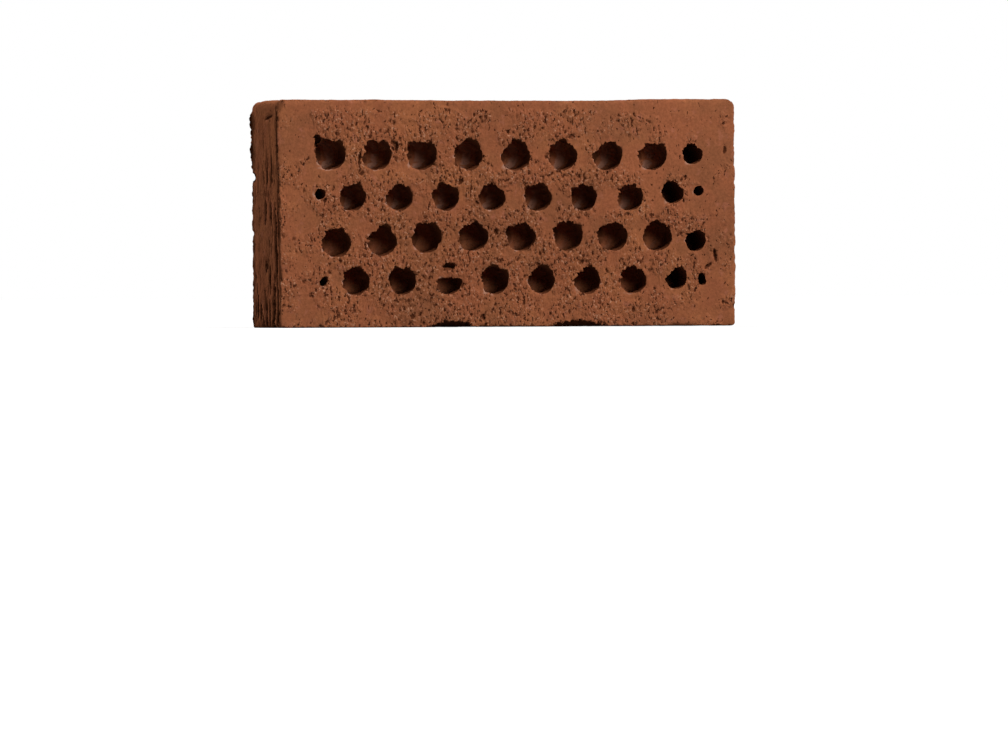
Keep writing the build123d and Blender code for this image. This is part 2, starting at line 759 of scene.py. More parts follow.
@dataclass
class SkinRelief:
    """Relief of the four die-made sides, outwards positive, in millimetres.

    The creases run round the brick: upright on its ends, and lengthwise on
    its long sides. A furrow on the left end is placed by its depth below
    the front bed face and its height.
    """

    noise: ClayNoise
    creases: MarkKind = MarkKind((24.0, 6.0), (12.0, 1.6), 1.15, 0.6, 33, tilt=0.07, torn_size=3.0)
    wrinkles: MarkKind = MarkKind(
        (8.0, 3.4), (4.2, 1.0), 0.7, 0.6, 41, tilt=0.1, torn_size=1.6, smallest=0.5
    )
    pocks: MarkKind = MarkKind((5.0, 4.0), (1.2, 0.8), 0.5, 0.4, 47)
    furrows: tuple[Tear, ...] = (
        Tear(11.8, 13.0, 2.7, 17.0, 2.8, tilt=9.0),
        Tear(18.9, 26.0, 1.8, 7.0, 1.6, tilt=-3.0),
        Tear(25.8, 31.5, 2.0, 3.4, 1.6),
        Tear(26.0, 59.0, 1.9, 7.5, 1.6, tilt=3.0),
        Tear(16.0, 57.0, 1.5, 6.5, 1.3),
        Tear(41.0, 11.0, 2.0, 6.0, 1.5, tilt=-5.0),
        Tear(35.0, 8.5, 1.5, 4.0, 1.2),
        Tear(4.6, 8.0, 2.6, 9.0, 1.0, tilt=6.0),
        Tear(17.4, 105.7, 7.0, 0.8, 0.8, tilt=-8.0),
        Tear(2.0, 92.0, 1.3, 19.0, 1.3, tilt=1.0),
        Tear(2.2, 57.0, 1.1, 16.0, 1.1, tilt=-1.0),
        Tear(6.2, 38.0, 2.2, 22.0, 1.5, tilt=-4.0),
        Tear(49.5, 76.3, 5.5, 2.8, 1.7),
    )
    furrow_raggedness: float = 1.7
    left_end: float = -110.0
    top: float = 115.0
    level: float = 0.1
    wave: float = 0.2
    grain: float = 0.07
    rough: float = 0.34
    rough_width: float = 7.0
    worn_least: float = 0.12
    unworn_top: Span = (78.0, 100.0)
    burr: float = 1.4
    burr_width: float = 3.2
    burr_foot: float = 0.42
    burr_least: float = 0.55
    back_arris: float = 51.4
    back_recess: float = 0.3
    recess_span: Span = (38.0, 49.0)
    back_stand: float = 0.95
    stand_span: Span = (15.0, 45.0)

    def back_burr(self, depth: np.ndarray, z: np.ndarray) -> np.ndarray:
        """Share of a ragged burr that the wire dragged out of the left end.

        The burr follows the back arris as exp(-(gap / width)^2). It is
        whole in the upper part, broken off below that, and thin at the foot.

        Args:
            depth: Distances below the front bed face.
            z: Heights.

        Returns:
            The share at each point, from 0 to a little over 1.
        """
        ragged = self.noise.fractal(z / 2.6, depth / 7.0, 14.5, octaves=3)
        whole = smoothstep(79.0, 83.0, z) * smoothstep(112.0, 106.0, z)
        thin = self.burr_foot * smoothstep(76.0, 70.0, z)
        width = self.burr_width * (self.burr_least + 0.45 * whole)
        gap = np.clip(self.back_arris - depth, 0.0, None) / width
        return np.clip((whole + thin) * (0.85 + 0.9 * ragged), 0.0, 1.2) * np.exp(-(gap**2))

    def heights(
        self,
        around: np.ndarray,
        depth: np.ndarray,
        x: np.ndarray,
        z: np.ndarray,
    ) -> tuple[np.ndarray, np.ndarray]:
        """Relief and painted shade of the skin.

        Waves, grain and rough patches, with creases, wrinkles and pocks
        cut in where the skin is worn. The left end also has its furrows
        and its burr, is drawn in a little at its back arris, and stands
        further out towards its foot.

        Args:
            around: Distances round the outline.
            depth: Distances below the front bed face.
            x: Places along the brick.
            z: Heights.

        Returns:
            The outward height, and the painted shade: how deep in a crease
            or furrow each point lies, or the share of the burr, which is
            painted dark as shade.
        """
        patches = self.noise.fractal(around / 30.0, depth / 16.0, 5.5, octaves=2)
        worn = 0.75 + 0.9 * patches - 0.55 * smoothstep(*self.unworn_top, z)
        worn = np.clip(worn, self.worn_least, 1.0)
        kinds = (self.creases, self.wrinkles, self.pocks)
        cut = np.maximum.reduce([worn * self.noise.marks(around, depth, kind) for kind in kinds])
        ragged = self.furrow_raggedness * self.noise.fractal(around / 4.0, depth / 1.5, 6.5, octaves=2)
        left_end = x < self.left_end
        for furrow in self.furrows:
            cut = np.maximum(cut, np.where(left_end, furrow.depth_at(depth, z, ragged), 0.0))
        burr = np.where(left_end, self.back_burr(depth, z), 0.0)
        stand = self.back_stand * (1.0 - z / self.top) * smoothstep(*self.stand_span, depth)
        recess = self.back_recess * smoothstep(*self.recess_span, depth)
        back = np.where(left_end, recess - stand, 0.0)
        wave = self.wave * self.noise.fractal(around / 40.0, depth / 20.0, 8.5, octaves=2)
        grain = self.grain * self.noise.smooth(around / 5.0, depth / 1.3, 9.5)
        width = self.rough_width
        rough = self.rough * self.noise.fractal(around / width, depth / width, 10.5, octaves=3)
        height = wave + grain + rough - cut - self.level - back + self.burr * burr
        # Creases and furrows are painted as shade, and so is the burr, which faces away from the lamps.
        return height, np.clip(np.maximum(cut / 0.6, 1.3 * burr), 0.0, 1.0)


@dataclass(frozen=True)
class BrokenCorner:
    """A flat break across a corner, by how far it reaches along each edge."""

    along: float = 6.0
    inward: float = 7.5
    down: float = 10.5

    def pared(self, points: np.ndarray, corner: np.ndarray) -> np.ndarray:
        """Move points beyond the break's plane straight back onto it.

        With q the offsets from the corner into the clay, divided by the
        three reaches, the plane is where the parts of q add up to 1.

        Args:
            points: Points of the brick.
            corner: The corner, which is least in X and Y and greatest in Z.

        Returns:
            The moved points.
        """
        square = np.array([1.0 / self.along, 1.0 / self.inward, -1.0 / self.down])
        short = 1.0 - (points - corner) @ square
        return points + np.clip(short, 0.0, None)[:, None] * square / np.dot(square, square)


@dataclass
class Outline:
    """Section outline of the fired brick, in millimetres.

    Firing leaned the left end in at its foot, filled out the lower half of
    the right end, and let the upper side sag.
    """

    length: float
    width: float
    top_corner: float = 4.6
    bottom_corner: float = 1.8
    left_lean: float = 1.6
    lean_reach: float = 20.0
    sag: float = 0.85
    sag_reach: float = 18.0
    sag_right: Span = (78.0, 42.0)
    sag_left: Span = (-70.0, -20.0)
    right_swell: float = 0.45
    swell_foot: Span = (6.0, 20.0)
    swell_top: Span = (84.0, 68.0)

    def edge_distance(self, u: np.ndarray, v: np.ndarray) -> np.ndarray:
        """Distance of each plain grid point from the outline."""
        half = self.length / 2
        return np.minimum.reduce([u + half, half - u, v, self.width - v])

    def _past_corner(self, u: np.ndarray, v: np.ndarray) -> tuple[np.ndarray, np.ndarray]:
        """How far points lie past the centres of the corners' arcs.

        Args:
            u: Plain grid places along X.
            v: Plain grid heights.

        Returns:
            Distances along X and along Z, from 0 up.
        """
        half, mid = self.length / 2, self.width / 2
        corner = np.where(v > mid, self.top_corner, self.bottom_corner)
        past_x = np.clip(np.abs(u) - (half - corner), 0.0, None)
        return past_x, np.clip(np.abs(v - mid) - (mid - corner), 0.0, None)

    def outward(self, u: np.ndarray, v: np.ndarray) -> tuple[np.ndarray, np.ndarray]:
        """Outward direction in the section at each plain grid point.

        It is square to the nearest side, and radial in a corner.

        Args:
            u: Plain grid places along X.
            v: Plain grid heights.

        Returns:
            X and Z parts of the direction.
        """
        past_x, past_z = self._past_corner(u, v)
        plain = (past_x <= 0.0) & (past_z <= 0.0)
        nearer_x = (self.length / 2 - np.abs(u)) < np.minimum(v, self.width - v)
        past_x = np.where(plain, np.where(nearer_x, 1.0, 0.0), past_x)
        past_z = np.where(plain, np.where(nearer_x, 0.0, 1.0), past_z)
        size = np.hypot(past_x, past_z)
        return np.sign(u) * past_x / size, np.sign(v - self.width / 2) * past_z / size

    def rounded(self, u: np.ndarray, v: np.ndarray) -> tuple[np.ndarray, np.ndarray]:
        """Plain grid points with the square corners drawn in to round ones.

        In a corner square, a point at offset d from the arc's centre moves
        to d times its larger part over its length, which turns nested
        squares into nested quarter circles.

        Args:
            u: Plain grid places along X.
            v: Plain grid heights.

        Returns:
            X and Z of the moved points.
        """
        d_x, d_z = self._past_corner(u, v)
        both = (d_x > 0.0) & (d_z > 0.0)
        size = np.where(both, np.hypot(d_x, d_z), 1.0)
        pull = np.where(both, 1.0 - np.maximum(d_x, d_z) / size, 0.0)
        return u - np.sign(u) * d_x * pull, v - np.sign(v - self.width / 2) * d_z * pull

    def fired(self, x: np.ndarray, z: np.ndarray) -> tuple[np.ndarray, np.ndarray]:
        """Points as firing left them.

        The left end leans in towards its foot, the right end is fuller in
        its lower half, and the top sags, less at the left than in the
        middle, and not at the right.

        Args:
            x: Places along the brick.
            z: Heights.

        Returns:
            X and Z of the moved points.
        """
        near_left = smoothstep(self.lean_reach, 0.0, x + self.length / 2)
        near_right = smoothstep(self.lean_reach, 0.0, self.length / 2 - x)
        near_top = smoothstep(self.width - self.sag_reach, self.width, z)
        moved = x + self.left_lean * near_left * (1.0 - z / self.width)
        swell = self.right_swell * near_right * smoothstep(*self.swell_foot, z)
        moved = moved + swell * smoothstep(*self.swell_top, z)
        along = smoothstep(*self.sag_right, x) * (0.6 + 0.4 * smoothstep(*self.sag_left, x))
        return moved, z - self.sag * near_top * along


@dataclass
class MeshParts:
    """Points, faces and shares gathered for one closed mesh."""

    points: list[np.ndarray] = field(default_factory=list)
    quads: list[np.ndarray] = field(default_factory=list)
    painted_shading: list[np.ndarray] = field(default_factory=list)
    torn: list[np.ndarray] = field(default_factory=list)
    count: int = 0

    def add(self, points: np.ndarray, painted_shading: np.ndarray | float, torn: np.ndarray | float) -> np.ndarray:
        """Add points and return their numbers.

        Args:
            points: Any shape ending in 3.
            painted_shading: Painted shading of each point: painted shade, 0 to 1, from how deep in a pit,
                crease or dark place it lies, or below 0 for painted light.
            torn: Share of torn clay at each point, 0 to 1.

        Returns:
            Numbers of the points, in the points' own shape.
        """
        shape = points.shape[:-1]
        size = int(np.prod(shape))
        self.points.append(points.reshape(-1, 3))
        self.painted_shading.append(np.broadcast_to(painted_shading, shape).reshape(-1))
        self.torn.append(np.broadcast_to(torn, shape).reshape(-1))
        numbers = np.arange(self.count, self.count + size).reshape(shape)
        self.count += size
        return numbers

    def band(self, ring: np.ndarray, flip: bool) -> None:
        """Join a closed band of points, ring by row, with four-sided faces.

        Args:
            ring: Point numbers as an array of ring places by rows.
            flip: Whether the faces turn the other way.
        """
        ahead = np.roll(ring, -1, axis=0)
        quads = np.stack([ring[:, :-1], ahead[:, :-1], ahead[:, 1:], ring[:, 1:]], axis=-1).reshape(-1, 4)
        self.quads.append(quads[:, ::-1] if flip else quads)


@dataclass
class BrickBody:
    """The whole brick as one closed surface.

    A plain grid in the section makes both bed faces, bent round the
    perforations. Walls and skin are bands between the two.
    """

    low: np.ndarray
    high: np.ndarray
    pattern: PerforationPattern
    mouths: Mouths
    bed: BedRelief
    skin: SkinRelief
    noise: ClayNoise
    columns: int = 480
    rows: int = 230
    wall_steps: tuple[float, float, float] = (0.45, 1.32, 4.0)
    skin_steps: tuple[float, float, float] = (0.3, 1.15, 0.55)
    inset: float = 0.3
    far: float = 99.0
    arris: float = 0.55
    arris_limits: Span = (0.25, 4.4)
    arris_swing: float = 0.3
    arris_width: float = 9.0
    arris_band: float = 8.0
    arris_slices: float = 60.0
    chips: tuple[MarkKind, ...] = (
        MarkKind((4.5, 9.0), (1.6, 60.0), 1.6, 0.65, 51, torn=0.3, torn_size=1.5),
        MarkKind((34.0, 9.0), (7.0, 60.0), 2.0, 0.35, 57, torn=0.3, torn_size=3.0),
    )
    nick: float = 1.1
    nick_width: float = 3.4
    nick_bias: float = 0.12
    corner_wear: float = 3.2
    wear_reach: float = 8.0
    bed_carry: float = 10.0
    skin_carry: float = 4.0
    rim_wear: float = 0.85
    rim_least: float = 0.12
    # Painted highlight on the worn rims.
    rim_highlight: float = 0.95
    rim_reach: float = 2.3
    rim_room: float = 3.0
    patch_width: float = 2.3
    patch_span: Span = (-0.05, 0.5)
    worn_towards: Span = (0.85, 0.5)
    worn_span: Span = (0.1, 0.9)
    right_wear_drop: float = 0.4
    right_span: Span = (-20.0, 40.0)
    bore_torn: float = 0.25
    # Painted shade on the hole walls, lifted by painted light towards the middle of full-size holes, row
    # by row.
    wall_painted_shade: float = 0.62
    wall_painted_light: tuple[float, ...] = (0.76, 0.84, 1.12, 1.25)
    bore_deep: Span = (10.0, 21.0)
    skin_torn: float = 0.3
    triangles: int = 194000
    crisp: float = 58.0
    broken: BrokenCorner = BrokenCorner()
    parts: MeshParts = field(default_factory=MeshParts)
    held: list[np.ndarray] = field(default_factory=list)

    def __post_init__(self) -> None:
        """Lay the plain grid and find each perforation's place on it."""
        self.outline = Outline(self.high[0] - self.low[0], self.high[2] - self.low[2])
        self.thickness = self.high[1] - self.low[1] - 2.0 * self.inset
        along = np.linspace(self.low[0], self.high[0], self.columns + 1)
        upward = np.linspace(self.low[2], self.high[2], self.rows + 1)
        self.step = along[1] - along[0]
        self.u, self.v = np.meshgrid(along, upward, indexing="ij")
        self.holes = self.pattern.holes()
        self.places = [self._place(hole) for hole in self.holes]

    def _place(self, hole: Perforation) -> tuple[int, int, int, int]:
        """Place of a hole on the plain grid.

        Args:
            hole: The perforation.

        Returns:
            Its middle column and row, half the side of the block of grid
            that it takes out, and half the side of what bends round it.
        """
        column = round((hole.x - self.low[0]) / self.step)
        row = round((hole.z - self.low[2]) * self.rows / self.outline.width)
        block = round(math.pi * hole.radius / 4 / self.step)
        return column, row, block, int(hole.kind.value / self.step)

    def _angles(self, di: np.ndarray, dj: np.ndarray) -> np.ndarray:
        """Angle at which a point of a square ring goes on the circle.

        Eighths of the square's side are spread evenly over eighths of the
        circle: a quarter of pi times the smaller offset over the larger.

        Args:
            di: Offsets in columns.
            dj: Offsets in rows.

        Returns:
            Angles from +X towards +Z.
        """
        wide = np.abs(di) >= np.abs(dj)
        safe_i, safe_j = np.where(di == 0, 1, di), np.where(dj == 0, 1, dj)
        sideways = math.pi / 4 * dj / safe_i + np.where(di < 0, math.pi, 0.0)
        upright = math.pi / 2 - math.pi / 4 * di / safe_j + np.where(dj < 0, math.pi, 0.0)
        return np.where(wide, sideways, upright)

    def section(self, side: Side) -> tuple[np.ndarray, np.ndarray, np.ndarray]:
        """Grid points of one bed face, bent round the perforations.

        Round a hole, nested squares of the grid become nested rings. A
        point lies on its ring at the hole's block, on its plain place at
        the edge of the apron, and in between by its share of the way.

        Args:
            side: Which bed face.

        Returns:
            X and Z of the grid points, and their distance from the rim.
        """
        x, z = self.outline.rounded(self.u, self.v)
        from_rim = np.full(self.u.shape, self.far)
        share = 0.0 if side is Side.FRONT else 1.0
        for hole, (column, row, block, apron) in zip(self.holes, self.places):
            window = (
                slice(column - apron, column + apron + 1),
                slice(row - apron, row + apron + 1),
            )
            offsets = np.arange(-apron, apron + 1)
            di, dj = np.meshgrid(offsets, offsets, indexing="ij")
            angle = self._angles(di, dj)
            gap = np.clip(np.maximum(np.abs(di), np.abs(dj)) - block, 0, None)
            radius = self.mouths.rim(hole, angle, side) + gap * self.step
            centre_x, centre_z = self.mouths.centre(hole, share)
            blend = gap / (apron - block)
            x[window] = (1.0 - blend) * (centre_x + radius * np.cos(angle)) + blend * x[window]
            z[window] = (1.0 - blend) * (centre_z + radius * np.sin(angle)) + blend * z[window]
            from_rim[window] = gap * self.step
        return (*self.outline.fired(x, z), from_rim)

    def _around(self, u: np.ndarray, v: np.ndarray) -> np.ndarray:
        """Distance round the outline, from the lower left corner rightwards.

        Args:
            u: Plain grid places along X.
            v: Plain grid heights.

        Returns:
            The distance of the nearest point of the outline.
        """
        length, width = self.outline.length, self.outline.width
        half = length / 2
        nearest = np.argmin(np.stack([v, half - u, width - v, u + half]), axis=0)
        rightward, upward = u + half, length + v
        leftward, downward = length + width + half - u, 2 * length + 2 * width - v
        runs = np.stack([rightward, upward, leftward, downward])
        return np.take_along_axis(runs, nearest[None], axis=0)[0]

    def _arris_radius(self, around: np.ndarray, side: Side) -> np.ndarray:
        """Rounding of the arris between a bed face and the skin.

        A small uneven radius, wider at scattered chips. The front arris is
        also wider at the upper left corner, and nicked along its foot.

        Args:
            around: Distances round the outline.
            side: Which bed face.

        Returns:
            The radius at each place, in millimetres.
        """
        flat = np.zeros(np.shape(around))
        slice_at = flat + self.arris_slices * side.value
        uneven = self.noise.fractal(around / self.arris_width, slice_at, octaves=3)
        radius = self.arris + self.arris_swing * uneven
        for kind in self.chips:
            kind = replace(kind, layer=kind.layer + side.value)
            radius = radius + self.noise.marks(around, flat, kind)
        if side is Side.FRONT:
            upper_left = 2.0 * self.outline.length + self.outline.width
            near = np.exp(-(((around - upper_left) / self.wear_reach) ** 2))
            uneven = self.noise.fractal(around / self.nick_width, flat + 77.0, octaves=3)
            nicked = np.clip(uneven + self.nick_bias, 0.0, 1.0)
            radius = radius + self.corner_wear * near
            radius = radius + self.nick * nicked * (around < self.outline.length)
        return np.clip(radius, *self.arris_limits)

    def _rounded_arris(
        self,
        inward: np.ndarray,
        below: np.ndarray,
        radius: np.ndarray,
    ) -> tuple[np.ndarray, np.ndarray]:
        """Offsets that round the arris between a bed face and the skin.

        With a and b the radius less the distance from the skin and from
        the bed face, the point goes on the arc, at the radius along (a, b).

        Args:
            inward: Distance from the outline.
            below: Distance from the bed face.
            radius: Radius of the arris.

        Returns:
            Distances from the outline and below the bed face on the arc.
        """
        a = np.clip(radius - inward, 0.0, None)
        b = np.clip(radius - below, 0.0, None)
        size = np.maximum(np.hypot(a, b), 1e-6)
        curved = (a > 0.0) & (b > 0.0)
        return (
            np.where(curved, radius - radius * a / size, inward),
            np.where(curved, radius - radius * b / size, below),
        )

    def _fade(self, distance: np.ndarray, reach: float) -> np.ndarray:
        """Share of an arris's relief carried on past it: (1 - d / reach)^2."""
        return np.clip(1.0 - distance / reach, 0.0, 1.0) ** 2

    def _face(self, side: Side) -> np.ndarray:
        """Add one bed face.

        The bed face's relief moves its points along Y. Near the outline
        they also follow the skin's relief, which fades inwards. Rims are
        worn back, and get a painted highlight where they are worn.

        Args:
            side: Which bed face.

        Returns:
            Numbers of the grid points, -1 in the holes.
        """
        x, z, from_rim = self.section(side)
        height, painted_shading, torn = self.bed.heights(x, z, self.holes, side)
        inward = self.outline.edge_distance(self.u, self.v)
        out_x, out_z = self.outline.outward(self.u, self.v)
        around = self._around(self.u, self.v)
        level = np.full(self.u.shape, 0.0 if side is Side.FRONT else self.thickness)
        crease, _ = self.skin.heights(around, level, x, z)
        radius = self._arris_radius(around, side)
        off_in, below = self._rounded_arris(inward, np.zeros(self.u.shape), radius)
        carried = crease * self._fade(inward, self.skin_carry)
        move = np.where(inward < self.arris_band, inward - off_in + carried, 0.0)
        near_rim = np.clip(1.0 - from_rim / self.rim_reach, 0.0, 1.0)
        worn = self._rim_wear_at(x, z) * near_rim
        depth = self.thickness / 2 - below + height - worn * near_rim
        points = np.stack([x + out_x * move, side.value * depth, z + out_z * move], axis=-1)
        kept = np.ones(self.u.shape, bool)
        for column, row, block, _ in self.places:
            kept[column - block + 1 : column + block, row - block + 1 : row + block] = False
        # Painted highlight where the rims are worn.
        painted_shading = painted_shading - self.rim_highlight * worn
        numbers = np.full(self.u.shape, -1)
        numbers[kept] = self.parts.add(points[kept], painted_shading[kept], torn[kept])
        corners = [numbers[:-1, :-1], numbers[1:, :-1], numbers[1:, 1:], numbers[:-1, 1:]]
        quads = np.stack(corners, axis=-1).reshape(-1, 4)
        quads = quads[(quads >= 0).all(axis=1)]
        self.parts.quads.append(quads if side is Side.FRONT else quads[:, ::-1])
        return numbers

    def _rim_wear_at(self, x: np.ndarray, z: np.ndarray) -> np.ndarray:
        """How far the rims are worn back, which also sets their painted highlight.

        A little all round, more in patches at the lower left of each rim,
        and less of both on the right of the brick.

        Args:
            x: Places along the brick.
            z: Heights.

        Returns:
            The wear at the nearest rim, in millimetres.
        """
        wear = np.full(x.shape, self.rim_least)
        patchy = self.noise.smooth(x / self.patch_width, z / self.patch_width, 12.5)
        patchy = smoothstep(*self.patch_span, patchy)
        leftward, downward = self.worn_towards
        for hole in self.holes:
            off_x, off_z = x - hole.x, z - hole.z
            size = np.hypot(off_x, off_z)
            facing = -(leftward * off_x + downward * off_z) / np.maximum(size, 1e-6)
            near = size < hole.radius + self.rim_room
            wear = wear + near * self.rim_wear * smoothstep(*self.worn_span, facing) * patchy
        return wear * (1.0 - self.right_wear_drop * smoothstep(*self.right_span, x))

    def _perimeter(self, grid: np.ndarray) -> np.ndarray:
        """Outer points of a grid, anticlockwise from its lower left corner."""
        return np.concatenate([grid[:-1, 0], grid[-1, :-1], grid[:0:-1, -1], grid[0, :0:-1]])

    def _block_ring(self, place: tuple[int, int, int, int]) -> tuple[np.ndarray, np.ndarray]:
        """Columns and rows of the points round a hole, anticlockwise.

        Args:
            place: Grid place of the hole.

        Returns:
            Offsets in columns and in rows from the hole's middle.
        """
        block = place[2]
        rise = np.arange(-block, block)
        edge = np.full(2 * block, block)
        return np.concatenate([edge, -rise, -edge, rise]), np.concatenate([rise, edge, -rise, -edge])

    def _depths(self, finest: float, growth: float, widest: float) -> np.ndarray:
        """Depths between the bed faces, closest together near both.

        Args:
            finest: First step below a bed face.
            growth: How much each step grows on the one before.
            widest: Widest step.

        Returns:
            Depths below the front bed face, without the two faces.
        """
        steps = [finest]
        while sum(steps) < self.thickness / 2:
            steps.append(min(steps[-1] * growth, widest))
        half = np.cumsum(steps)
        half = half * (self.thickness / 2) / half[-1]
        return np.concatenate([half, (self.thickness - half[:-1])[::-1]])

    def _walls(self, front: np.ndarray, back: np.ndarray) -> None:
        """Join each hole's two mouths with its wall.

        The walls get painted shade, and full-size holes get painted light
        towards the middle of the brick.

        Args:
            front: Point numbers of the front bed face.
            back: Point numbers of the back bed face.
        """
        depths = self._depths(*self.wall_steps)
        deep = smoothstep(*self.bore_deep, np.minimum(depths, self.thickness - depths))
        for hole, place in zip(self.holes, self.places):
            di, dj = self._block_ring(place)
            angle = self._angles(di, dj)
            radius = self.mouths.wall(hole, angle, depths, self.thickness)
            centre_x, centre_z = self.mouths.centre(hole, depths / self.thickness)
            x = centre_x[None, :] + radius * np.cos(angle)[:, None]
            z = centre_z + radius * np.sin(angle)[:, None]
            x, z = self.outline.fired(x, z)
            y = np.broadcast_to(depths[None, :] - self.thickness / 2, x.shape)
            # Painted light towards the middle of full-size holes, over painted shade near the mouths.
            pale = self.wall_painted_light[hole.row] * deep * (hole.kind is HoleKind.FULL)
            shade = np.broadcast_to((self.wall_painted_shade - pale)[None, :], x.shape)
            inner = self.parts.add(np.stack([x, y, z], axis=-1), shade, self.bore_torn)
            self.held.append(inner[:, [0, -1]].reshape(-1))
            mouth = front[place[0] + di, place[1] + dj][:, None]
            exit_mouth = back[place[0] + di, place[1] + dj][:, None]
            self.parts.band(np.concatenate([mouth, inner, exit_mouth], axis=1), flip=False)

    def _sides(self, front: np.ndarray, back: np.ndarray) -> None:
        """Join the two bed faces with the die-made skin.

        The skin's relief moves its points outwards. Near a bed face they
        also follow that face's relief, which fades away from it.

        Args:
            front: Point numbers of the front bed face.
            back: Point numbers of the back bed face.
        """
        u, v = self._perimeter(self.u), self._perimeter(self.v)
        x, z = self.outline.fired(*self.outline.rounded(u, v))
        out_x, out_z = self.outline.outward(u, v)
        around = self._around(u, v)
        run, down = np.meshgrid(around, self._depths(*self.skin_steps), indexing="ij")
        level = np.zeros(run.shape)
        move, painted_shading = self.skin.heights(run, down, x[:, None] + level, z[:, None] + level)
        depth = down - self.thickness / 2
        for side, below in ((Side.FRONT, down), (Side.BACK, self.thickness - down)):
            radius = self._arris_radius(around, side)[:, None]
            off_in, off_below = self._rounded_arris(level, below, radius)
            height, _, _ = self.bed.heights(x, z, self.holes, side)
            carried = height[:, None] * self._fade(below, self.bed_carry)
            move = move - off_in
            depth = depth + side.value * (carried - off_below + below)
        moved_x, moved_z = x[:, None] + out_x[:, None] * move, z[:, None] + out_z[:, None] * move
        inner = self.parts.add(np.stack([moved_x, depth, moved_z], axis=-1), painted_shading, self.skin_torn)
        front_edge, back_edge = (self._perimeter(numbers)[:, None] for numbers in (front, back))
        self.parts.band(np.concatenate([front_edge, inner, back_edge], axis=1), flip=True)

    def build(self, name: str) -> bpy.types.Object:
        """Make the brick's mesh object.

        Args:
            name: Name of the piece.

        Returns:
            The object, at the origin, with its shape in its mesh.
        """
        front, back = self._face(Side.FRONT), self._face(Side.BACK)
        self._walls(front, back)
        self._sides(front, back)
        points = np.concatenate(self.parts.points)
        points = self.broken.pared(points, np.array([self.low[0], self.low[1], self.high[2]]))
        points[:, 2] = np.clip(points[:, 2], self.low[2], None)
        quads = np.concatenate(self.parts.quads)
        mesh = bpy.data.meshes.new(name)
        mesh.from_pydata(points * MM, [], quads)
        # The painted shading, painted shade above 0 and painted light below 0, goes on the mesh beside
        # the torn share.
        for title, values in (("painted_shading", self.parts.painted_shading), ("torn", self.parts.torn)):
            attribute = mesh.attributes.new(title, "FLOAT", "POINT")
            attribute.data.foreach_set("value", np.concatenate(values).astype(np.float32))
        mesh.polygons.foreach_set("use_smooth", np.ones(len(quads), bool))
        body = bpy.data.objects.new(name, mesh)
        bpy.context.scene.collection.objects.link(body)
        self._thin(body, 2 * len(quads))
        return body

    def _thin(self, body: bpy.types.Object, before: int) -> None:
        """Merge the faces where the clay is plain, to the set number.

        The ring just inside each mouth is held, so that the shade of the
        wall starts there and doesn't blend into the rim. Edges sharper
        than the crisp angle are then shaded as sharp.

        Args:
            body: The brick.
            before: Its number of triangles so far.
        """
        free = np.setdiff1d(np.arange(self.parts.count), np.concatenate(self.held))
        group = body.vertex_groups.new(name="free")
        group.add(free.tolist(), 1.0, "REPLACE")
        thinner = body.modifiers.new("thin", "DECIMATE")
        thinner.ratio = self.triangles / before
        thinner.vertex_group = group.name
        evaluated = body.evaluated_get(bpy.context.evaluated_depsgraph_get())
        mesh = bpy.data.meshes.new_from_object(evaluated)
        body.modifiers.clear()
        body.vertex_groups.clear()
        old, body.data = body.data, mesh
        bpy.data.meshes.remove(old)
        mesh.name = body.name
        mesh.set_sharp_from_angle(angle=math.radians(self.crisp))
        log.info("%s: %d triangles from %d", body.name, len(mesh.polygons), before)


